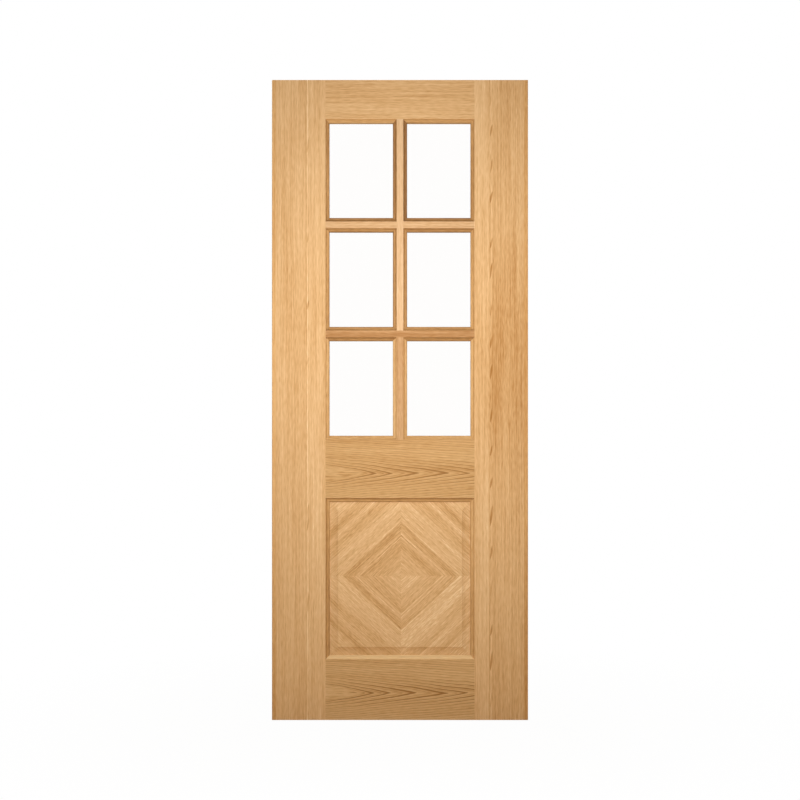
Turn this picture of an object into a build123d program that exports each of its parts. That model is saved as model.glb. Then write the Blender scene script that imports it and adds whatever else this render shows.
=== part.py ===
from build123d import *
import os

# Sizes are in millimetres. The origin is at the foot of the left edge, in the middle of the thickness.
# X runs across the leaf to the right, the front faces -Y and Z is up.

# Leaf
leaf_width = 813
leaf_height = 2032
leaf_thickness = 35

# Frame: two stiles with a solid lipping along the outer edge, and three rails between them
stile_width = 170
lipping_thickness = 12
lipping_arris = 1
top_rail_height = 124
lock_rail_height = 185
bottom_rail_height = 192
panel_opening_height = 513

# Glazing bars divide the upper opening into two columns and three rows
bar_width = 21.2
column_names = ["left", "right"]
row_names = ["bottom", "middle", "top"]

# Glass
glass_thickness = 4
glass_edge_clearance = 3

# Ogee section shared by the glazing beads and the panel mouldings:
# from the frame edge inward it has a flat shoulder, a hollow, a flat and a rounded nose
section_setback = 1
section_shoulder = 1.2
section_nose = 3
bead_cove = 5.5
bead_flat = 2.4
moulding_cove = 6.5
moulding_flat = 2.3
moulding_land = 1.25
seat_clearance = 0.25
mitre_gap = 0.2
mitre_cut_length = 60

# Raised panel: a thin margin held by the mouldings, a hollow bevel and a flat field
panel_edge_clearance = 2
bevel_width = 26.5
bevel_drop = 8
bevel_hollow = 1.5

# Places that follow from the sizes above
half_thickness = leaf_thickness / 2
opening_width = leaf_width - 2 * stile_width
opening_middle = leaf_width / 2
panel_bottom = bottom_rail_height
panel_top = panel_bottom + panel_opening_height
panel_middle = (panel_bottom + panel_top) / 2
glazing_bottom = panel_top + lock_rail_height
glazing_top = leaf_height - top_rail_height
pane_width = (opening_width - bar_width) / len(column_names)
pane_height = (glazing_top - glazing_bottom - 2 * bar_width) / len(row_names)
lower_bar_bottom = glazing_bottom + pane_height
lower_bar_top = lower_bar_bottom + bar_width
upper_bar_bottom = lower_bar_top + pane_height
section_top = half_thickness - section_setback
moulding_width = section_shoulder + moulding_cove + moulding_flat + section_nose
moulding_seat = section_top - moulding_cove - section_nose - moulding_land
glass_seat = glass_thickness / 2 + seat_clearance
margin_half = moulding_seat - seat_clearance
field_half = margin_half + bevel_drop

os.makedirs("parts", exist_ok=True)


def save(piece, name):
    piece.label = name
    export_step(piece, f"parts/{name}.step")


# A plain square-edged member through the full thickness, given by its lower left corner and its size
def save_member(name, left, bottom, width, height):
    with BuildPart() as member:
        with BuildSketch(Plane.XZ):
            with Locations((left, bottom)):
                Rectangle(width, height, align=(Align.MIN, Align.MIN))
        extrude(amount=half_thickness, both=True)
    save(member.part, name)


# The outline of an opening, begun in the middle of its lower side so that all four corners are mitred
def opening_outline(middle_x, middle_z, width, height):
    left = middle_x - width / 2
    right = middle_x + width / 2
    bottom = middle_z - height / 2
    top = middle_z + height / 2
    with BuildLine(Plane.XZ) as outline:
        corners = [(right, bottom), (right, top), (left, top), (left, bottom)]
        Polyline((middle_x, bottom), *corners, close=True)
    return outline.wire()


# The plane across the lower side of an opening: its x runs inward from the frame, its y towards the front
def section_plane(middle_x, middle_z, height):
    return Plane((middle_x, 0, middle_z - height / 2), x_dir=(0, 0, 1), z_dir=(1, 0, 0))


# Four mitred lengths of the ogee section round an opening, on the front of the leaf and again on its back
def save_mouldings(name, middle_x, middle_z, width, height, cove, flat, seat):
    cove_end = section_shoulder + cove
    nose_start = cove_end + flat
    section_width = nose_start + section_nose
    cove_bottom = section_top - cove
    nose_bottom = cove_bottom - section_nose
    outline = opening_outline(middle_x, middle_z, width, height)

    with BuildPart() as front_mouldings:
        with BuildSketch(section_plane(middle_x, middle_z, height)):
            with BuildLine():
                Polyline((0, seat), (0, section_top), (section_shoulder, section_top))
                CenterArc((cove_end, section_top), cove, 180, 90)
                Line((cove_end, cove_bottom), (nose_start, cove_bottom))
                CenterArc((nose_start, nose_bottom), section_nose, 90, -90)
                Polyline((section_width, nose_bottom), (section_width, seat), (0, seat))
            make_face()
        sweep(path=outline, transition=Transition.RIGHT)
        with BuildSketch(Plane.XZ):
            for side_x in (-1, 1):
                for side_z in (-1, 1):
                    corner = (middle_x + side_x * width / 2, middle_z + side_z * height / 2)
                    with Locations(corner):
                        Rectangle(mitre_cut_length, mitre_gap, rotation=45 * side_x * side_z)
        extrude(amount=half_thickness, mode=Mode.SUBTRACT)
    save(front_mouldings.part, f"front_{name}")

    with BuildPart() as back_mouldings:
        mirror(front_mouldings.part, about=Plane.XZ)
    save(back_mouldings.part, f"back_{name}")


# Solid lippings on the long edges, with the outer arrises eased
with BuildPart() as left_lipping:
    with BuildSketch(Plane.XZ):
        Rectangle(lipping_thickness, leaf_height, align=(Align.MIN, Align.MIN))
    extrude(amount=half_thickness, both=True)
    fillet(left_lipping.faces().sort_by(Axis.X)[0].edges().filter_by(Axis.Z), lipping_arris)
save(left_lipping.part, "left_lipping")

with BuildPart() as right_lipping:
    mirror(left_lipping.part, about=Plane.YZ.offset(opening_middle))
save(right_lipping.part, "right_lipping")

# Stiles and rails
stile_body_width = stile_width - lipping_thickness
save_member("left_stile", lipping_thickness, 0, stile_body_width, leaf_height)
save_member("right_stile", leaf_width - stile_width, 0, stile_body_width, leaf_height)
save_member("bottom_rail", stile_width, 0, opening_width, bottom_rail_height)
save_member("lock_rail", stile_width, panel_top, opening_width, lock_rail_height)
save_member("top_rail", stile_width, glazing_top, opening_width, top_rail_height)

# Glazing bars: the lower bar runs through between the stiles, and the upper bars butt on the upright muntin
muntin_left = opening_middle - bar_width / 2
save_member("lower_bar", stile_width, lower_bar_bottom, opening_width, bar_width)
save_member("lower_muntin", muntin_left, glazing_bottom, bar_width, pane_height)
save_member("upper_muntin", muntin_left, lower_bar_top, bar_width, glazing_top - lower_bar_top)
save_member("upper_left_bar", stile_width, upper_bar_bottom, pane_width, bar_width)
save_member("upper_right_bar", muntin_left + bar_width, upper_bar_bottom, pane_width, bar_width)

# A pane of glass in each light, between two sets of mitred beads
for row, row_name in enumerate(row_names):
    for column, column_name in enumerate(column_names):
        light_name = f"{row_name}_{column_name}"
        light_x = stile_width + pane_width / 2 + column * (pane_width + bar_width)
        light_z = glazing_bottom + pane_height / 2 + row * (pane_height + bar_width)

        with BuildPart() as glass:
            with BuildSketch(Plane.XZ):
                with Locations((light_x, light_z)):
                    Rectangle(pane_width - 2 * glass_edge_clearance, pane_height - 2 * glass_edge_clearance)
            extrude(amount=glass_thickness / 2, both=True)
        save(glass.part, f"glass_{light_name}")

        save_mouldings(
            f"beads_{light_name}", light_x, light_z, pane_width, pane_height, bead_cove, bead_flat, glass_seat
        )

# The raised panel: the front half is cut with a hollow bevel round its margin, and the back half mirrors it
with BuildPart() as raised_panel:
    with BuildSketch(Plane.XZ):
        with Locations((opening_middle, panel_middle)):
            Rectangle(opening_width - 2 * panel_edge_clearance, panel_opening_height - 2 * panel_edge_clearance)
    extrude(amount=field_half)
    with BuildSketch(section_plane(opening_middle, panel_middle, panel_opening_height)):
        bevel_end = moulding_width + bevel_width
        with BuildLine():
            Polyline((0, half_thickness), (0, margin_half), (moulding_width, margin_half))
            SagittaArc((moulding_width, margin_half), (bevel_end, field_half), -bevel_hollow)
            Polyline((bevel_end, field_half), (bevel_end, half_thickness), (0, half_thickness))
        make_face()
    sweep(
        path=opening_outline(opening_middle, panel_middle, opening_width, panel_opening_height),
        transition=Transition.RIGHT,
        mode=Mode.SUBTRACT,
    )
    mirror(about=Plane.XZ)
save(raised_panel.part, "raised_panel")

# The panel is held between mouldings of the same family as the glazing beads
save_mouldings(
    "panel_moulding",
    opening_middle,
    panel_middle,
    opening_width,
    panel_opening_height,
    moulding_cove,
    moulding_flat,
    moulding_seat,
)
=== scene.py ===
import math

import bpy
import numpy as np
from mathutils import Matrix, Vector


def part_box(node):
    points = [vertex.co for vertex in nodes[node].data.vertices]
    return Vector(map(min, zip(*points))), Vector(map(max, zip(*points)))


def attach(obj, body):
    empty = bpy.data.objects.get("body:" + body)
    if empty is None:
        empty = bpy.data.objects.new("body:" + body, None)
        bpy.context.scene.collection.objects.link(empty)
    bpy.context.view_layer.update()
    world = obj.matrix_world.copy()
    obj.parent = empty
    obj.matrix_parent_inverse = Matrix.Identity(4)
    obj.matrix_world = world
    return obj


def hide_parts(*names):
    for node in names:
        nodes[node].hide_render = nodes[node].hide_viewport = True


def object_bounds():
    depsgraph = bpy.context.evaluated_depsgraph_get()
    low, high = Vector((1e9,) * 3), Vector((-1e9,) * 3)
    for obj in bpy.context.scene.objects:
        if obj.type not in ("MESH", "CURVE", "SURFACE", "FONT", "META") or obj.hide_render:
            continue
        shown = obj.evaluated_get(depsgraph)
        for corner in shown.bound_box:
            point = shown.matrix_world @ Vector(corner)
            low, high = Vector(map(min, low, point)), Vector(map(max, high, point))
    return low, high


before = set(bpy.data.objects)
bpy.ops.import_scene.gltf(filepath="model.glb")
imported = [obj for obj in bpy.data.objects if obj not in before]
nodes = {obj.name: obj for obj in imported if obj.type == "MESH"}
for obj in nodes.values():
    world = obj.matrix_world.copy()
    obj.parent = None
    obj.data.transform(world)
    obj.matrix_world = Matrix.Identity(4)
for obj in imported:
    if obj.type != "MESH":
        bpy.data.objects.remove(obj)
cadLow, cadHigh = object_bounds()
print("frame loaded:", len(nodes), "nodes")


# sRGB hex code to the linear colour that a socket holds
def linearColour(code):
    values = np.array([int(code[i : i + 2], 16) for i in (1, 3, 5)]) / 255
    linear = np.where(values <= 0.04045, values / 12.92, ((values + 0.055) / 1.055) ** 2.4)
    return (*linear.tolist(), 1.0)


# adds one node and gives its outputs: inputs are plain values or sockets to link from, settings are its
# properties, and a ramp's stops are (place, value) pairs, each value a hex code or a grey level
def addNode(tree, kind, inputs=(), stops=(), **settings):
    node = tree.nodes.new("ShaderNode" + kind)
    for key, value in settings.items():
        setattr(node, key, value)
    for key, value in inputs.items() if isinstance(inputs, dict) else enumerate(inputs):
        if isinstance(value, bpy.types.NodeSocket):
            tree.links.new(value, node.inputs[key])
        else:
            node.inputs[key].default_value = value
    for number, (place, value) in enumerate(stops):
        elements = node.color_ramp.elements
        element = elements[number] if number < 2 else elements.new(place)
        element.position = place
        element.color = linearColour(value) if isinstance(value, str) else (value, value, value, 1.0)
    return node.outputs


# a new material with an empty tree
def newMaterial(name):
    material = bpy.data.materials.new(name)
    material.use_nodes = True
    material.node_tree.nodes.clear()
    return material, material.node_tree


# sizes in millimetres to repeats in a metre
def perMetre(sizes):
    return tuple(1000 / size for size in sizes)


# Oak under satin lacquer. Each mark's size is (across, depth, along) in millimetres, and a higher tone is
# paler. Real pores are a third of a millimetre wide, so they are drawn wider here to show at this distance.
oakLook = {
    "stops": [
        (0, "#AE7838"),
        (0.3, "#C9965B"),
        (0.6, "#E2B57D"),
        (0.8, "#EDC38E"),
        (0.92, "#F3CA95"),
        (1, "#FFDDAE"),
    ],
    "tone": 0.6,
    "driftSize": (45, 45, 900),
    "driftWeight": 0.4,
    "bandSize": (9, 9, 600),
    "bandWeight": 0.22,
    "lineSize": (2.4, 2.4, 300),
    "lineWeight": 0.6,
    "fleckSize": (2.4, 2.4, 20),
    "fleckWeight": 0.36,
    "poreSize": (2.0, 2.0, 34),
    "poreWeight": 0.1,
    "details": {"drift": 2.0, "band": 1.0, "line": 1.0, "fleck": 0.0, "pore": 1.0},
    "waver": 0.006,  # sideways sway of the grain, in metres
    "waverSize": (71.43, 71.43, 125),  # and its waves, in millimetres
    "figureWeight": 0.3,
    "roughness": 0.42,
    "poreRoughness": 0.12,
    "poreRange": (0.54, 0.68),  # the part of the noise that opens into pores
    "poreDepth": 0.0001,
    "poreBump": 0.4,
    "lacquerIor": 1.5,
    "seed": 0.0,
}


# lacquered oak: fine lines and pore dashes along the grain, on a warm honey ground with a soft sheen
# layout gives the grain's own coordinates and how dark it is at each point: the figure where the cut has one,
# and on the beads their tone with painted shade
def lacqueredOak(name, layout, changes):
    look = {**oakLook, **changes}
    material, tree = newMaterial(name)
    grain, figure = layout(tree, look)
    seeded = addNode(tree, "VectorMath", (grain, (look["seed"],) * 3), operation="ADD")[0]
    slow = addNode(tree, "VectorMath", (seeded, perMetre(look["waverSize"])), operation="MULTIPLY")[0]
    sway = addNode(tree, "TexNoise", {"Vector": slow, "Scale": 1.0, "Detail": 1.0})["Color"]
    wavy = addNode(tree, "VectorMath", (sway, (look["waver"], 0, 0), seeded), operation="MULTIPLY_ADD")[0]

    noises = {}
    for mark, detail in look["details"].items():
        repeats = perMetre(look[mark + "Size"])
        scaled = addNode(tree, "VectorMath", (wavy, repeats), operation="MULTIPLY")[0]
        noises[mark] = addNode(tree, "TexNoise", {"Vector": scaled, "Scale": 1.0, "Detail": detail})[0]
    pores = addNode(tree, "MapRange", (noises["pore"], *look["poreRange"]))[0]

    # tone = middle + drift + bands + lines + flecks - pores - figure
    shares = [(noises[mark], look[mark + "Weight"]) for mark in ("drift", "band", "line", "fleck")]
    level = look["tone"] - sum(weight for noise, weight in shares) / 2
    shares += [(pores, -look["poreWeight"])]
    if figure is not None:
        shares += [(figure, -look["figureWeight"])]
    for value, weight in shares:
        level = addNode(tree, "Math", (value, weight, level), operation="MULTIPLY_ADD")[0]
    colour = addNode(tree, "ValToRGB", (level,), look["stops"])[0]

    roughParts = (pores, look["poreRoughness"], look["roughness"])
    rough = addNode(tree, "Math", roughParts, operation="MULTIPLY_ADD")[0]
    dents = {"Height": pores, "Strength": look["poreBump"], "Distance": look["poreDepth"]}
    bump = addNode(tree, "Bump", dents, invert=True)[0]
    lacquer = {"Base Color": colour, "Roughness": rough, "Normal": bump, "IOR": look["lacquerIor"]}
    addNode(tree, "OutputMaterial", addNode(tree, "BsdfPrincipled", lacquer))
    return material


# grain that runs up the leaf, as on the muntins and lippings
def uprightGrain(tree, look):
    return addNode(tree, "TexCoord")["Object"], None


# grain that runs across the leaf, as on the bars and the top rail
def levelGrain(tree, look):
    place = addNode(tree, "SeparateXYZ", (addNode(tree, "TexCoord")["Object"],))
    return addNode(tree, "CombineXYZ", (place["Z"], place["Y"], place["X"]))[0], None


# two upright leaves of veneer that meet at a seam, each with its own grain. Down the seam runs a fine dark
# line with a light one beside it, and slanting dark lenses where the cut leaves a year ring, one to each step
# of height. With t from 0 to 1 up a lens, its middle is lensLean * t from the seam and its half width is
# 4 * t * (1 - t) * lensWidth. The leaves are painted paler in some stretches of their height, where the front
# lamp's light on them is weaker: painted light that evens out its fall-off
def seamedGrain(tree, look):
    place = addNode(tree, "TexCoord")["Object"]
    split = addNode(tree, "SeparateXYZ", (place,))
    fromSeam = addNode(tree, "Math", (split["X"], look["seam"]), operation="SUBTRACT")[0]
    leaf = addNode(tree, "Math", (fromSeam, 0.0), operation="GREATER_THAN")[0]
    shift = addNode(tree, "VectorMath", {0: look["leafShift"], "Scale": leaf}, operation="SCALE")[0]
    grain = addNode(tree, "VectorMath", (place, shift), operation="ADD")[0]

    unevenNoise = {"W": split["Z"], "Scale": 1000 / look["unevenSize"], "Detail": 1.0}
    uneven = addNode(tree, "TexNoise", unevenNoise, noise_dimensions="1D")[0]
    steps = addNode(tree, "Math", (split["Z"], 1 / look["lensStep"], uneven), operation="MULTIPLY_ADD")[0]
    stepNumber = addNode(tree, "Math", (steps,), operation="FLOOR")[0]
    strength = addNode(tree, "TexWhiteNoise", {"W": stepNumber}, noise_dimensions="1D")[0]
    phase = addNode(tree, "Math", (steps,), operation="FRACT")[0]
    t = addNode(tree, "Math", (phase, look["lensStep"] / look["lensLength"]), operation="MULTIPLY")[0]
    lean = addNode(tree, "Math", (t, -look["lensLean"], fromSeam), operation="MULTIPLY_ADD")[0]
    offLens = addNode(tree, "Math", (lean,), operation="ABSOLUTE")[0]
    rest = addNode(tree, "Math", (1.0, t), operation="SUBTRACT", use_clamp=True)[0]
    swell = addNode(tree, "Math", (t, rest), operation="MULTIPLY")[0]
    widthParts = (swell, 4 * look["lensWidth"], look["lensThinnest"])
    width = addNode(tree, "Math", widthParts, operation="MULTIPLY_ADD")[0]
    share = addNode(tree, "Math", (offLens, width), operation="DIVIDE")[0]
    lens = addNode(tree, "MapRange", (share, *look["lensEdge"], 1.0, 0.0))[0]
    dark = addNode(tree, "MapRange", (strength, 0.0, 1.0, look["lensLeast"], 1.0))[0]
    lenses = addNode(tree, "Math", (lens, dark), operation="MULTIPLY")[0]

    waverNoise = {"W": split["Z"], "Scale": 1000 / look["lineWaverSize"], "Detail": 2.0}
    waver = addNode(tree, "TexNoise", waverNoise, noise_dimensions="1D")[0]
    wavy = addNode(tree, "Math", (waver, look["lineWaver"], fromSeam), operation="MULTIPLY_ADD")[0]
    linePlace = addNode(tree, "MapRange", (wavy, *look["lineReach"]))[0]
    line = addNode(tree, "ValToRGB", (linePlace,), look["seamLine"])[0]
    marked = addNode(tree, "Math", (lenses, look["lensDark"], line), operation="MULTIPLY_ADD")[0]
    leafShade = addNode(tree, "Math", (leaf, look["leafStep"], marked), operation="MULTIPLY_ADD")[0]
    # painted light: paleAt makes the leaves paler at heights where the front lamp lights them less
    heightShare = addNode(tree, "Math", (split["Z"], cadHigh.z), operation="DIVIDE")[0]
    paleHere = addNode(tree, "ValToRGB", (heightShare,), look["paleAt"])[0]
    paling = addNode(tree, "Math", (leaf, look["leafPale"], look["pale"]), operation="MULTIPLY_ADD")[0]
    pale = addNode(tree, "Math", (paleHere, paling), operation="MULTIPLY")[0]
    return grain, addNode(tree, "Math", (leafShade, pale), operation="SUBTRACT")[0]


# plain-sliced crown figure: the rings are nested arrowheads, x + slope * d + armCurve * d * d = constant,
# with x along the rail from the crown's start, d the height off the crown's line, rounded at the tip, and
# slope = armSlope + slopeGain * x. The constant is the tip's place on the line: it is listed for the inner
# rings, and its square root goes up evenly for the outer ones. Rings fade away from the line, streaks along
# the rail feather them, and the fine lines run flatter than they do
def crownGrain(tree, look):
    place = addNode(tree, "TexCoord")["Object"]
    split = addNode(tree, "SeparateXYZ", (place,))
    sway = addNode(tree, "TexNoise", {"Vector": place, "Scale": 1000 / look["swaySize"], "Detail": 2.0})[0]
    middle = look["crownLine"] + look["sway"] / 2
    height = addNode(tree, "Math", (split["Z"], middle), operation="SUBTRACT")[0]
    swayed = addNode(tree, "Math", (sway, look["sway"], height), operation="MULTIPLY_ADD")[0]
    squared = addNode(tree, "Math", (swayed, swayed), operation="MULTIPLY")[0]
    rounded = addNode(tree, "Math", (squared, look["tipRadius"] ** 2), operation="ADD")[0]
    offLine = addNode(tree, "Math", (rounded, 0.5), operation="POWER")[0]
    fromStart = addNode(tree, "Math", (split["X"], look["crownStart"]), operation="SUBTRACT")[0]
    slopeParts = (fromStart, look["slopeGain"], look["armSlope"])
    slope = addNode(tree, "Math", slopeParts, operation="MULTIPLY_ADD")[0]
    arms = addNode(tree, "Math", (offLine, slope, fromStart), operation="MULTIPLY_ADD")[0]
    crown = addNode(tree, "Math", (squared, look["armCurve"], arms), operation="MULTIPLY_ADD")[0]

    roots = np.concatenate([np.sqrt(look["tips"]), np.arange(*look["outerRoots"])]).tolist()
    counts = [(root / roots[-1], number / len(roots)) for number, root in enumerate(roots)]
    crownRoot = addNode(tree, "Math", (crown, 0.5), operation="POWER")[0]
    reach = addNode(tree, "Math", (crownRoot, roots[-1]), operation="DIVIDE")[0]
    ringShare = addNode(tree, "ValToRGB", (reach,), counts)[0]
    streaked = addNode(tree, "VectorMath", (place, perMetre(look["featherSize"])), operation="MULTIPLY")[0]
    streaks = addNode(tree, "TexNoise", {"Vector": streaked, "Scale": 1.0, "Detail": 1.0})[0]
    ringParts = (ringShare, len(roots), -look["feather"] / 2)
    rings = addNode(tree, "Math", ringParts, operation="MULTIPLY_ADD")[0]
    feathered = addNode(tree, "Math", (streaks, look["feather"], rings), operation="MULTIPLY_ADD")[0]
    phase = addNode(tree, "Math", (feathered,), operation="FRACT")[0]
    ring = addNode(tree, "ValToRGB", (phase,), look["ringShade"])[0]
    fade = addNode(tree, "MapRange", (offLine, 0.0, look["fadeReach"], 1.0, look["fadeLeast"]))[0]
    shade = addNode(tree, "Math", (ring, fade), operation="MULTIPLY")[0]

    flatter = addNode(tree, "Math", (crown, look["lineFollow"]), operation="MULTIPLY")[0]
    across = addNode(tree, "Math", (offLine, look["lineLift"], flatter), operation="MULTIPLY_ADD")[0]
    side = addNode(tree, "Math", (swayed, 0.0), operation="GREATER_THAN")[0]
    return addNode(tree, "CombineXYZ", (across, side, split["X"]))[0], shade


# four leaves matched round the panel's middle: stripes run along |x| * slope + |z| = constant, close as
# diamonds and are lighter or darker by that constant; each leaf has its own grain and shade
def diamondGrain(tree, look):
    place = addNode(tree, "TexCoord")["Object"]
    centred = addNode(tree, "VectorMath", (place, look["middle"]), operation="SUBTRACT")[0]
    folded = addNode(tree, "VectorMath", (centred,), operation="ABSOLUTE")[0]
    sides = addNode(tree, "SeparateXYZ", (folded,))
    signs = addNode(tree, "SeparateXYZ", (centred,))
    slope = look["diamondSlope"]
    across = addNode(tree, "Math", (sides["X"], slope, sides["Z"]), operation="MULTIPLY_ADD")[0]
    along = addNode(tree, "Math", (sides["Z"], -slope, sides["X"]), operation="MULTIPLY_ADD")[0]
    right = addNode(tree, "Math", (signs["X"], 0.0), operation="GREATER_THAN")[0]
    upper = addNode(tree, "Math", (signs["Z"], 0.0), operation="GREATER_THAN")[0]
    leaf = addNode(tree, "Math", (upper, 2.0, right), operation="MULTIPLY_ADD")[0]
    shifted = addNode(tree, "Math", (leaf, look["leafShift"], along), operation="MULTIPLY_ADD")[0]
    grain = addNode(tree, "CombineXYZ", (across, 0.0, shifted))[0]
    reach = addNode(tree, "Math", (across, look["bandReach"]), operation="DIVIDE")[0]
    bands = addNode(tree, "ValToRGB", (reach,), look["bands"])[0]
    leafStep = 1 / len(look["leafShades"])
    leafPlace = addNode(tree, "Math", (leaf, leafStep, leafStep / 2), operation="MULTIPLY_ADD")[0]
    leafStops = [(number * leafStep, shade) for number, shade in enumerate(look["leafShades"])]
    leafShade = addNode(tree, "ValToRGB", (leafPlace,), leafStops)[0]
    leafShade.node.color_ramp.interpolation = "CONSTANT"
    return grain, addNode(tree, "Math", (bands, leafShade), operation="ADD")[0]


# grain along each length of bead, from the piece's own UV map; the attribute holds how dark that length is at
# each point: its own tone with painted shade by side and row, and at the shoulder and the nose
def lengthGrain(tree, look):
    place = addNode(tree, "SeparateXYZ", (addNode(tree, "UVMap", uv_map="grain")[0],))
    tone = addNode(tree, "Attribute", attribute_name="toneAndPaintedShade")["Fac"]
    return addNode(tree, "CombineXYZ", (place["Y"], 0.0, place["X"]))[0], tone


# stiles: rift-cut veneer in two leaves, sizes in millimetres and other lengths in metres
seamLook = {
    "leafShift": (0.31, 0.0, 0.77),
    "unevenSize": 200,  # height over which the lenses' spacing drifts
    "lensLength": 0.046,
    "lensLean": 0.0065,
    "lensWidth": 0.0036,
    "lensThinnest": 1e-6,
    "lensEdge": (0.4, 1.1),  # shares of the half width between which a lens fades out
    "lineWaver": 0.004,
    "lineWaverSize": 45.45,
    "lineReach": (-0.008, 0.016),  # how far the seam's line reaches to its left and right
    "figureWeight": 0.5,
    "lineWeight": 0.66,
    "fleckWeight": 0.4,
}
leftStileLook = {
    **seamLook,
    "seam": 0.111,
    "lensStep": 0.24,
    "lensLeast": 0.0,
    "lensDark": 0.9,
    "leafStep": -0.06,
    "pale": 0.0,
    "leafPale": 0.16,
    "paleAt": [(0.2, 1), (0.49, 0)],
    "seamLine": [(0, 0.5), (0.26, 0.5), (0.34, 0.75), (0.4, 0.5), (0.45, 0), (0.55, 0), (0.6, 0.5)],
    "tone": 0.89,
}
rightStileLook = {
    **seamLook,
    "seam": 0.693,
    "lensStep": 0.112,
    "lensLeast": 0.25,
    "lensDark": 1.3,
    "leafStep": 0.5,
    "pale": 0.3,
    "leafPale": 0.38,
    "paleAt": [(0.07, 0.85), (0.21, 1), (0.35, 0.72), (0.5, 0.1), (0.6, 0), (0.77, 0.74), (0.95, 0.76)],
    "seamLine": [(0, 0.5), (0.22, 0.5), (0.34, 1), (0.42, 0.7), (0.48, 0.2), (0.58, 0.2), (0.68, 0.5)],
    "tone": 0.84,
}
leftStileOak = lacqueredOak("lacqueredOakLeftStile", seamedGrain, leftStileLook)
rightStileOak = lacqueredOak("lacqueredOakRightStile", seamedGrain, rightStileLook)

# rails: the top one straight, the other two crown-cut, sizes in millimetres and other lengths in metres
topRailLook = {"tone": 0.63, "driftWeight": 0.2, "lineWeight": 0.7, "fleckWeight": 0.42}
crownLook = {
    "stops": [(0, "#A5763F"), (0.3, "#C6965B"), (0.6, "#DFB57D"), (0.8, "#EBC38E"), (1, "#FCDDAE")],
    "sway": 0.008,
    "swaySize": 166.7,
    "tipRadius": 0.0008,
    "armSlope": 2.4,
    "slopeGain": 6.0,
    "armCurve": 100.0,
    "tips": [0.112, 0.166, 0.218, 0.302, 0.402, 0.465],
    "outerRoots": (0.745, 1.55, 0.065),  # first root, limit and step
    "ringShade": [
        (0, 0),
        (0.1, 0.1),
        (0.3, 0.15),
        (0.42, 0.55),
        (0.5, 0.1),
        (0.68, 0.35),
        (0.81, 1),
        (0.95, 1),
        (1, 0),
    ],
    "fadeReach": 0.045,
    "fadeLeast": 0.45,
    "feather": 0.15,
    "featherSize": (60, 60, 4),  # streaks along the rail, through it and up it
    "lineFollow": 0.02,
    "lineLift": 0.6,
    "lineWeight": 0.4,
    "fleckWeight": 0.25,
    "bandWeight": 0.15,
}
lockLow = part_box("lock_rail")[0]
lockRailLook = {
    **crownLook,
    "crownLine": lockLow.z + 0.0778,
    "crownStart": 0.17,
    "figureWeight": 0.62,
    "tone": 0.56,
}
bottomRailLook = {**crownLook, "crownLine": 0.0868, "crownStart": 0.163, "figureWeight": 0.8, "tone": 0.69}
topRailOak = lacqueredOak("lacqueredOakTopRail", levelGrain, topRailLook)
lockRailOak = lacqueredOak("lacqueredOakLockRail", crownGrain, lockRailLook)
bottomRailOak = lacqueredOak("lacqueredOakBottomRail", crownGrain, bottomRailLook)

# solid oak: lippings, muntins, bars and beads
lippingStops = [(0, "#AE7536"), (0.3, "#CB9556"), (0.6, "#E5B577"), (1, "#F5CB91")]
leftLippingLook = {"stops": lippingStops, "tone": 0.55, "seed": 3.1}
rightLippingLook = {"stops": lippingStops, "tone": 0.4, "seed": 6.3}
barStops = [(0, "#AC7841"), (0.3, "#C79663"), (0.6, "#DFB584"), (0.8, "#EBC395"), (1, "#F8D3A6")]
upperMuntinLook = {"stops": barStops, "tone": 0.8, "seed": 5.7}
lowerMuntinLook = {"stops": barStops, "tone": 0.36, "seed": 2.9}
upperBarLook = {"stops": barStops, "tone": 0.63, "seed": 1.3}
lowerBarLook = {"stops": barStops, "tone": 0.17, "seed": 8.2}
beadOakLook = {
    "stops": [(0, "#6E4824"), (0.35, "#A87A46"), (0.65, "#D0A268"), (1, "#F0CC96")],
    "tone": 0.59,
    "lineWeight": 0.5,
    "fleckWeight": 0.3,
    "figureWeight": 0.3,
}
leftLippingOak = lacqueredOak("lacqueredOakLeftLipping", uprightGrain, leftLippingLook)
rightLippingOak = lacqueredOak("lacqueredOakRightLipping", uprightGrain, rightLippingLook)
upperMuntinOak = lacqueredOak("lacqueredOakUpperMuntin", uprightGrain, upperMuntinLook)
lowerMuntinOak = lacqueredOak("lacqueredOakLowerMuntin", uprightGrain, lowerMuntinLook)
upperBarOak = lacqueredOak("lacqueredOakUpperBar", levelGrain, upperBarLook)
lowerBarOak = lacqueredOak("lacqueredOakLowerBar", levelGrain, lowerBarLook)
beadOak = lacqueredOak("lacqueredOakBead", lengthGrain, beadOakLook)

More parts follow.
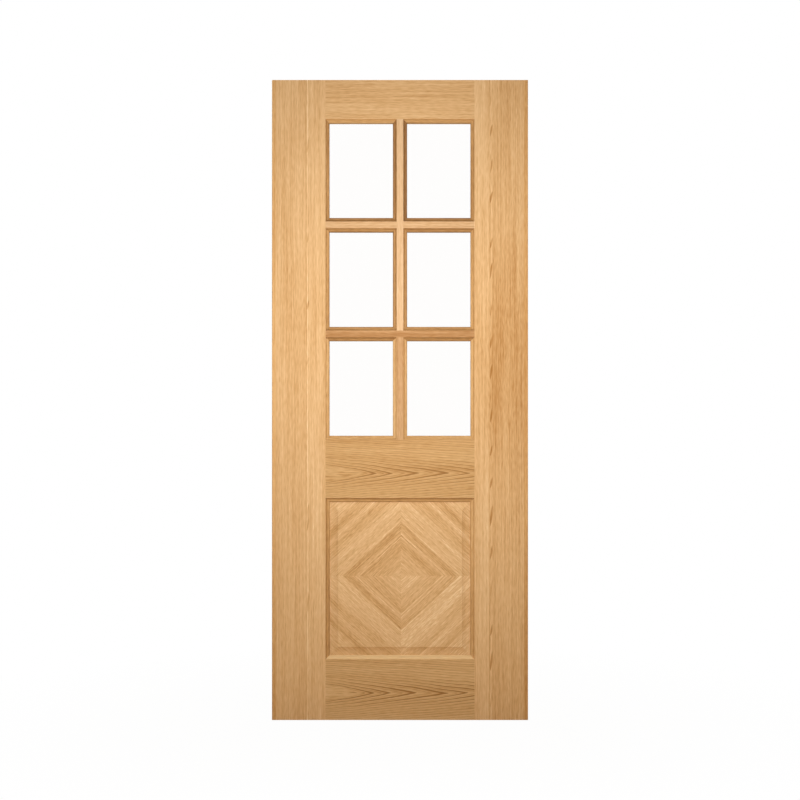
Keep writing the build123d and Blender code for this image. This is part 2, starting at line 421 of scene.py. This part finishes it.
# panel: diamond-matched veneer; the match's middle is a little off the panel's own
panelLow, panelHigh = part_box("raised_panel")
panelLook = {
    "middle": tuple((panelLow + panelHigh) / 2 + Vector((0.0032, 0.0, 0.0085))),
    "diamondSlope": 0.93,
    "leafShift": 0.37,
    # each leaf's own tone, and partly painted light: the lower leaves are paler to even out the front lamp's
    # fall-off down the panel
    "leafShades": [0.38, 0.15, 0.45, 0.42],  # lower left, lower right, upper left, upper right
    "bandReach": 0.4,
    "bands": [
        (0, 0.55),
        (0.08, 0.42),
        (0.15, 0.55),
        (0.19, 0.75),
        (0.27, 0.9),
        (0.3, 0.85),
        (0.308, 0.1),
        (0.316, 0.75),
        (0.327, 0.7),
        (0.335, 0),
        (0.343, 0.7),
        (0.38, 0.95),
        (0.41, 1),
        (0.428, 0.9),
        (0.437, 0.1),
        (0.447, 0.38),
        (0.58, 0.3),
        (0.65, 0.45),
        (0.67, 0.7),
        (0.75, 0.8),
        (0.782, 0.2),
        (0.8, 0.5),
        (0.87, 1),
        (0.93, 0.5),
    ],
    "lineSize": (2.6, 2.6, 160),
    "fleckSize": (2.6, 2.6, 18),
    "bandSize": (7, 7, 300),
    "driftWeight": 0.15,
    "bandWeight": 0.1,
    "figureWeight": 0.4,
    "lineWeight": 0.82,
    "fleckWeight": 0.54,
    "tone": 1.06,
    "seed": 4.4,
}
panelOak = lacqueredOak("lacqueredOakDiamond", diamondGrain, panelLook)
print("oak materials made")

# planed edge of a blockboard core: matte pale softwood staves between two thin brown fibreboard skins
coreLook = {
    "softwood": "#DCBE8C",
    "fibreboard": "#A9804F",
    "oak": "#CB9A5E",
    "skin": 0.0035,
    "veneer": 0.0007,
    "stave": 0.028,
    "staveWeight": 0.5,
    "grainSize": 6.25,  # in millimetres
    "shadeFrom": (0.2, 1.2),
    "shadeTo": (0.78, 1.08),
    "roughness": 0.9,
    "specular": 0.2,
}
coreEdge, coreTree = newMaterial("planedSoftwoodCore")
corePlace = addNode(coreTree, "TexCoord")["Object"]
coreSplit = addNode(coreTree, "SeparateXYZ", (corePlace,))
coreDepth = addNode(coreTree, "Math", (coreSplit["Y"],), operation="ABSOLUTE")[0]
coreShare = addNode(coreTree, "Math", (coreDepth, cadHigh.y), operation="DIVIDE")[0]
coreStops = [
    (0.0, coreLook["softwood"]),
    (1 - coreLook["skin"] / cadHigh.y, coreLook["fibreboard"]),
    (1 - coreLook["veneer"] / cadHigh.y, coreLook["oak"]),
]
coreLayers = addNode(coreTree, "ValToRGB", (coreShare,), coreStops)[0]
coreLayers.node.color_ramp.interpolation = "CONSTANT"
coreGrain = {"Vector": corePlace, "Scale": 1000 / coreLook["grainSize"], "Detail": 3.0}
coreNoise = addNode(coreTree, "TexNoise", coreGrain)[0]
staves = addNode(coreTree, "Math", (coreSplit["X"], coreLook["stave"]), operation="DIVIDE")[0]
staveNumber = addNode(coreTree, "Math", (staves,), operation="FLOOR")[0]
staveShade = addNode(coreTree, "TexWhiteNoise", {"W": staveNumber}, noise_dimensions="1D")[0]
coreParts = (staveShade, coreLook["staveWeight"], coreNoise)
coreSum = addNode(coreTree, "Math", coreParts, operation="MULTIPLY_ADD")[0]
coreBright = addNode(coreTree, "MapRange", (coreSum, *coreLook["shadeFrom"], *coreLook["shadeTo"]))[0]
coreColour = addNode(coreTree, "VectorMath", {0: coreLayers, "Scale": coreBright}, operation="SCALE")[0]
coreWood = {
    "Base Color": coreColour,
    "Roughness": coreLook["roughness"],
    "Specular IOR Level": coreLook["specular"],
}
addNode(coreTree, "OutputMaterial", addNode(coreTree, "BsdfPrincipled", coreWood))

# float glass: clear and polished; lamps shine through it
glassLook = {
    "Base Color": linearColour("#FFFFFF"),
    "Roughness": 0.0,
    "IOR": 1.52,
    "Transmission Weight": 1.0,
}
glass, glassTree = newMaterial("clearFloatGlass")
glassBody = addNode(glassTree, "BsdfPrincipled", glassLook)[0]
glassThrough = addNode(glassTree, "BsdfTransparent")[0]
glassRays = addNode(glassTree, "LightPath")["Is Shadow Ray"]
addNode(glassTree, "OutputMaterial", addNode(glassTree, "MixShader", (glassRays, glassBody, glassThrough)))

# materials on the CAD nodes that keep their shape
nodeOak = {
    "left_stile": leftStileOak,
    "right_stile": rightStileOak,
    "top_rail": topRailOak,
    "lock_rail": lockRailOak,
    "bottom_rail": bottomRailOak,
    "left_lipping": leftLippingOak,
    "right_lipping": rightLippingOak,
    "upper_muntin": upperMuntinOak,
    "lower_muntin": lowerMuntinOak,
    "upper_left_bar": upperBarOak,
    "upper_right_bar": upperBarOak,
    "lower_bar": lowerBarOak,
    "raised_panel": panelOak,
}
for name, material in nodeOak.items():
    nodes[name].data.materials[0] = material
for name in nodes:
    if name.startswith("glass_"):
        nodes[name].data.materials[0] = glass

# the core shows on the top and bottom edges of the stiles and of the outer rails
nearEdge = 1e-5
for name in ("left_stile", "right_stile", "top_rail", "bottom_rail"):
    mesh = nodes[name].data
    mesh.materials.append(coreEdge)
    middles = np.empty(len(mesh.polygons) * 3, np.float32)
    mesh.polygons.foreach_get("center", middles)
    heights = middles.reshape(-1, 3)[:, 2]
    onEdge = (np.abs(heights - cadLow.z) < nearEdge) | (np.abs(heights - cadHigh.z) < nearEdge)
    mesh.polygons.foreach_set("material_index", onEdge.astype(np.int32))
print("materials on", len(nodeOak), "oak nodes")

# beads and panel mouldings, in millimetres: an ogee section carried round each opening
# each length is painted darker or paler by the side it faces and the row it sits in, as light falls there:
# painted light and shade, in the order bottom, right, top and left
beadLook = {
    "setback": 1.0,
    "shoulder": 1.2,
    "nose": 3.0,
    "mitreGap": 0.1,
    "arcSteps": 8,
    "sharpAngle": 35,
    "beadCove": 5.5,
    "beadFlat": 2.4,
    "mouldingCove": 6.5,
    "mouldingFlat": 2.3,
    "grainSpread": 5,  # metres of grain to cut the lengths from
    "toneSpread": 0.1,
    # painted shade: the shoulder and the nose of each length are darker, as in the shadow of the step and the
    # crease
    "shoulderPaintedShade": 0.3,
    "shoulderShare": 0.2,  # share of the width that is darker at the shoulder
    "nosePaintedShade": 0.5,
    "noseShare": 0.25,  # and at the nose
    # painted light and shade on the glazing beads, per opening and side
    "paneBeadPaintedShade": {
        "top_left": (1.05, 0.65, -0.3, 0.5),
        "top_right": (1.0, 0.15, -0.2, 1.3),
        "middle_left": (0.6, 0.5, 0.45, 0.2),
        "middle_right": (0.4, -0.1, 0.65, 0.55),
        "bottom_left": (-0.4, -0.35, 0.75, -0.25),
        "bottom_right": (-0.3, -0.35, 0.6, -0.3),
    },
    # painted light and shade on the panel mouldings: the bottom length, which faces up, is painted much paler
    "panelMouldingPaintedShade": (-1.55, -0.3, -0.2, 0.0),
}


# ogee section as (inward, forward) points: a quarter circle for the hollow, a flat, a quarter circle for the
# nose, then the return, the seat and the shoulder
def ogeeSection(cove, flat, top, seat):
    turn = np.linspace(0, math.pi / 2, beadLook["arcSteps"])
    coveEnd = beadLook["shoulder"] + cove
    noseStart = coveEnd + flat
    noseDrop = cove + beadLook["nose"] * (1 - np.cos(turn))
    hollow = np.column_stack([coveEnd - cove * np.cos(turn), top - cove * np.sin(turn)])
    nose = np.column_stack([noseStart + beadLook["nose"] * np.sin(turn), top - noseDrop])
    back = [[noseStart + beadLook["nose"], seat], [0.0, seat], [0.0, top]]
    return np.vstack([hollow, nose, back]) / 1000


# the section carried along the four sides of an opening, each length mitred at 45 degrees:
# point = corner + inward * u + along * (u + (length - 2u) * t), for t = 0 and 1, where u is the section's
# inward distance, with mitreGap taken off each end
def mouldingFrame(name, low, high, facing, section, paintedSideShade, seed):
    rng = np.random.default_rng(seed)
    corners = np.array([[low.x, low.z], [high.x, low.z], [high.x, high.z], [low.x, high.z]])
    ends = np.roll(corners, -1, axis=0)
    length = np.linalg.norm(ends - corners, axis=1)
    along = (ends - corners) / length[:, None]
    inward = np.column_stack([-along[:, 1], along[:, 0]])
    u, forward = section[:, 0], section[:, 1]
    gap = beadLook["mitreGap"] / 1000
    steps = np.stack([np.broadcast_to(u + gap, (4, len(u))), length[:, None] - u - gap], axis=2)
    flatPlace = (
        corners[:, None, None, :]
        + steps[..., None] * along[:, None, None, :]
        + u[None, :, None, None] * inward[:, None, None, :]
    )
    places = np.empty((4, len(u), 2, 3))
    places[..., 0] = flatPlace[..., 0]
    places[..., 1] = facing * forward[None, :, None]
    places[..., 2] = flatPlace[..., 1]

    index = np.arange(places[..., 0].size).reshape(4, len(u), 2)
    ahead = np.roll(index, -1, axis=1)
    sides = np.stack([index[..., 0], index[..., 1], ahead[..., 1], ahead[..., 0]], axis=-1).reshape(-1, 4)
    starts, finishes = index[:, ::-1, 0], index[:, :, 1]
    if facing > 0:  # the mirrored section on the back needs its faces turned round
        sides, starts, finishes = sides[:, ::-1], starts[:, ::-1], finishes[:, ::-1]
    faces = [*sides.tolist(), *starts.tolist(), *finishes.tolist()]
    mesh = bpy.data.meshes.new(name)
    mesh.from_pydata(places.reshape(-1, 3).tolist(), [], faces)

    # UV map in metres, along the length and round the section; each length has its own stretch of grain
    girth = np.concatenate([[0.0], np.cumsum(np.linalg.norm(np.diff(section, axis=0), axis=1))])
    offset = rng.uniform(0, beadLook["grainSpread"], (4, 1, 1))
    vertexMap = np.empty((4, len(u), 2, 2))
    vertexMap[..., 0] = steps + offset
    vertexMap[..., 1] = girth[None, :, None] + offset
    loops = np.empty(len(mesh.loops), np.int32)
    mesh.loops.foreach_get("vertex_index", loops)
    grainMap = mesh.uv_layers.new(name="grain")
    grainMap.data.foreach_set("uv", vertexMap.reshape(-1, 2)[loops].astype(np.float32).ravel())

    # each length's tone: painted shade by the side it faces and its row, a small random spread of its own, and
    # painted shade at the shoulder and the nose, where the step and the crease beside the nose fall in shade
    toneAndPaintedShade = np.array(paintedSideShade) + rng.uniform(-0.5, 0.5, 4) * beadLook["toneSpread"]
    share = u / u.max()
    shoulder = np.clip(1 - share / beadLook["shoulderShare"], 0, 1)
    nose = np.clip(1 - (1 - share) / beadLook["noseShare"], 0, 1)
    paintedEdgeShade = beadLook["shoulderPaintedShade"] * shoulder + beadLook["nosePaintedShade"] * nose
    pointTone = np.repeat((toneAndPaintedShade[:, None] + paintedEdgeShade).ravel(), 2).astype(np.float32)
    mesh.attributes.new("toneAndPaintedShade", "FLOAT", "POINT").data.foreach_set("value", pointTone)

    mesh.shade_smooth()
    mesh.set_sharp_from_angle(angle=math.radians(beadLook["sharpAngle"]))
    mesh.materials.append(beadOak)
    mesh.validate()
    piece = bpy.data.objects.new(name, mesh)
    bpy.context.scene.collection.objects.link(piece)
    return piece


sectionTop = cadHigh.y * 1000 - beadLook["setback"]
for number, name in enumerate(sorted(nodes)):
    if "beads" in name:
        kind = "bead"
        paintedSideShade = beadLook["paneBeadPaintedShade"][name.split("_beads_")[1]]
    elif "moulding" in name:
        kind = "moulding"
        paintedSideShade = beadLook["panelMouldingPaintedShade"]
    else:
        continue
    low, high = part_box(name)
    facing = -1 if name.startswith("front") else 1
    seat = min(abs(low.y), abs(high.y)) * 1000
    section = ogeeSection(beadLook[kind + "Cove"], beadLook[kind + "Flat"], sectionTop, seat)
    piece = mouldingFrame(name + "_oak", low, high, facing, section, paintedSideShade, number)
    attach(piece, "root")
    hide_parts(name)
print("beads and mouldings made")


# 1 where the camera looks at the studio straight or through glass, 0 on a ray that has bounced off the leaf
def seenStraight(tree, rays):
    looks = (rays["Is Camera Ray"], rays["Is Transmission Ray"])
    seen = addNode(tree, "Math", looks, operation="MAXIMUM")[0]
    bounces = addNode(tree, "Math", (rays["Diffuse Depth"], rays["Glossy Depth"]), operation="ADD")[0]
    straight = addNode(tree, "Math", (bounces, 0.5), operation="LESS_THAN")[0]
    return addNode(tree, "Math", (seen, straight), operation="MULTIPLY")[0]


# studio floor: matte and pale, it throws a warm light on the leaf; the camera sees it nearly white with a soft
# shadow close to the leaf, and plain white farther off
floorLook = {"size": 14.0, "matte": "#CBB89B", "nearWhite": 0.98, "fadeStart": 0.5, "fadeEnd": 1.6}
half = floorLook["size"] / 2
floorCorners = [(-half, -half, 0), (half, -half, 0), (half, half, 0), (-half, half, 0)]
floorMesh = bpy.data.meshes.new("floor")
floorMesh.from_pydata(floorCorners, [], [(0, 1, 2, 3)])
floor = bpy.data.objects.new("floor", floorMesh)
bpy.context.scene.collection.objects.link(floor)
floorPaint, floorTree = newMaterial("paleMatteFloor")
floorPlace = addNode(floorTree, "TexCoord")["Object"]
leafFoot = ((cadLow.x + cadHigh.x) / 2, 0.0, 0.0)
fromLeaf = addNode(floorTree, "VectorMath", (floorPlace, leafFoot), operation="DISTANCE")["Value"]
whiteFade = (fromLeaf, floorLook["fadeStart"], floorLook["fadeEnd"], floorLook["nearWhite"], 1.0)
whiteShare = addNode(floorTree, "MapRange", whiteFade)[0]
floorSeen = seenStraight(floorTree, addNode(floorTree, "LightPath"))
seenShare = addNode(floorTree, "Math", (floorSeen, whiteShare), operation="MULTIPLY")[0]
floorMatte = addNode(floorTree, "BsdfDiffuse", {"Color": linearColour(floorLook["matte"])})[0]
floorWhite = addNode(floorTree, "Emission", {"Strength": 1.0})[0]
addNode(floorTree, "OutputMaterial", addNode(floorTree, "MixShader", (seenShare, floorMatte, floorWhite)))
floorMesh.materials.append(floorPaint)

# studio room: dim warm light, brighter in reflections, and plain white where the camera looks at it
worldLook = {"ambient": 0.16, "gloss": 0.5, "warm": "#FFE8CC"}
world = bpy.data.worlds.new("studio")
bpy.context.scene.world = world
world.use_nodes = True
worldTree = world.node_tree
worldTree.nodes.clear()
worldRays = addNode(worldTree, "LightPath")
softParts = (worldRays["Is Glossy Ray"], worldLook["gloss"] - worldLook["ambient"], worldLook["ambient"])
soft = addNode(worldTree, "Math", softParts, operation="MULTIPLY_ADD")[0]
warm = linearColour(worldLook["warm"])
roomLight = addNode(worldTree, "Background", {"Color": warm, "Strength": soft})[0]
whiteRoom = addNode(worldTree, "Background", {"Color": (1, 1, 1, 1), "Strength": 1.0})[0]
roomSeen = seenStraight(worldTree, worldRays)
addNode(worldTree, "OutputWorld", addNode(worldTree, "MixShader", (roomSeen, roomLight, whiteRoom)))

# lamps: a round diffuser in front at chest height, a wide screen behind it that only shows as sheen on the
# lacquer, and two softboxes for the back of the leaf
lampLook = {
    "front": {"kind": "POINT", "place": (0.4, -1.25, 1.33), "size": 0.3, "watts": 58.5, "shows": "diffuse"},
    "screen": {"kind": "AREA", "place": (0.35, -1.8, 1.35), "size": 2.0, "watts": 10.0, "shows": "glossy"},
    "backLeft": {"kind": "AREA", "place": (-1.5, 2.2, 3.0), "size": 1.2, "watts": 48.0, "shows": "both"},
    "backRight": {"kind": "AREA", "place": (2.3, 2.2, 3.0), "size": 1.2, "watts": 48.0, "shows": "both"},
}
aimAt = np.array([0.4, 0.0, 1.3])
for name, look in lampLook.items():
    lamp = bpy.data.lights.new(name, look["kind"])
    if look["kind"] == "AREA":
        lamp.size = look["size"]
    else:
        lamp.shadow_soft_size = look["size"]
    lamp.energy = look["watts"]
    lampObject = bpy.data.objects.new(name, lamp)
    lampObject.location = look["place"]
    aim = aimAt - np.array(look["place"])
    tilt = math.atan2(math.hypot(aim[0], aim[1]), -aim[2])
    turn = math.atan2(-aim[0], aim[1])
    lampObject.rotation_euler = (tilt, 0, turn)
    lampObject.visible_glossy = look["shows"] != "diffuse"
    lampObject.visible_diffuse = look["shows"] != "glossy"
    lampObject.visible_camera = False  # the lamps themselves don't show, also not through the panes
    lampObject.visible_transmission = False
    bpy.context.scene.collection.objects.link(lampObject)

# camera: square on to the leaf, level with its middle
cameraLook = {"distance": 5.0, "frameHeight": 2.5397, "sensor": 36.0}
camera = bpy.data.cameras.new("camera")
camera.sensor_width = cameraLook["sensor"]
camera.lens = cameraLook["sensor"] * cameraLook["distance"] / cameraLook["frameHeight"]
cameraObject = bpy.data.objects.new("camera", camera)
leafMiddle = (cadLow + cadHigh) / 2
cameraObject.location = (leafMiddle.x, cadLow.y - cameraLook["distance"], leafMiddle.z)
cameraObject.rotation_euler = (math.pi / 2, 0, 0)
bpy.context.scene.collection.objects.link(cameraObject)
bpy.context.scene.camera = cameraObject
bpy.context.scene.view_settings.view_transform = "Standard"
print("studio ready")
